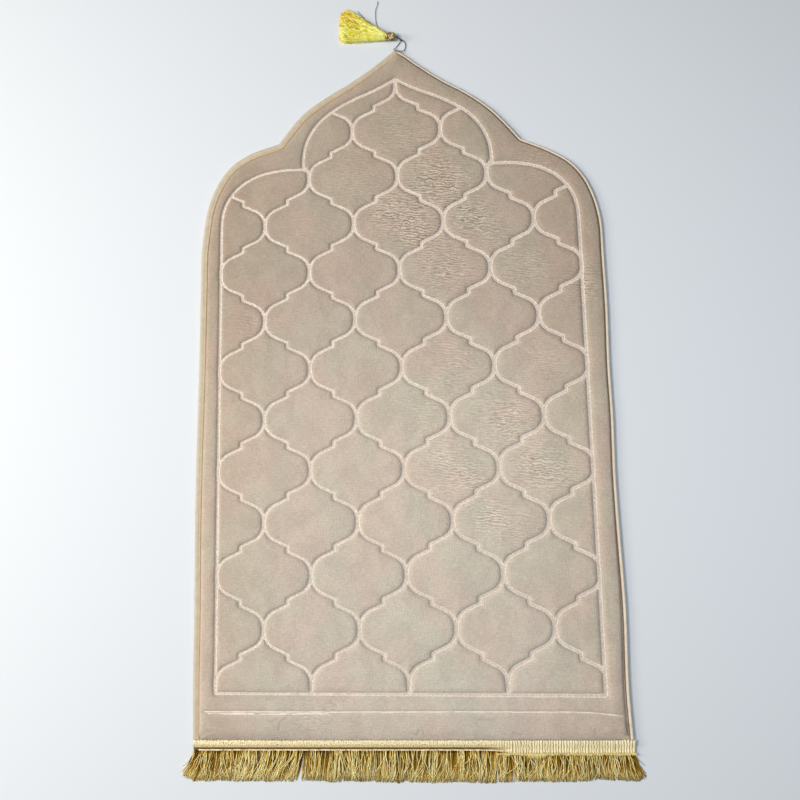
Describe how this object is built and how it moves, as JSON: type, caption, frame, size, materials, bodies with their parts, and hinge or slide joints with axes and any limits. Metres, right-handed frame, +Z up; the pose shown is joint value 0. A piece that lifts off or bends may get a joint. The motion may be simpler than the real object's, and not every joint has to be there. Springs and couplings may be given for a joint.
{
  "type": "prayer rug",
  "caption": "Padded plush prayer rug with an ogee-arched head, a pressed trellis, a bound edge, a fringed foot and a tassel on a thread loop.",
  "frame": {"origin": "on the flat underside of the mat, on its middle line, midway between the foot of the mat and the bound tip of its arch", "axes": "+Y towards the tip of the arch, +Z up out of the plush face, +X to the right as seen from above"},
  "size_m": [0.6771, 1.2513, 0.0139],
  "materials": {
    "plush": "short taupe plush, brushed flat, over thin padding",
    "binding_cloth": "golden tan knitted binding, slight sheen",
    "fringe_rayon": "glossy old gold rayon",
    "tassel_yarn": "lemon yellow rayon yarn",
    "wound_thread": "brown and gold thread, tightly wound",
    "dark_thread": "matt dark green-grey thread"
  },
  "bodies": {
    "root": {"rug_pad": "plush", "edge_binding": "binding_cloth", "fringe": "fringe_rayon", "tassel": "tassel_yarn", "tassel_wrap": "wound_thread", "tassel_knot": "dark_thread", "hanging_loop": "dark_thread", "thread_end_side": "dark_thread", "thread_end_up": "dark_thread"}
  },
  "joints": []
}
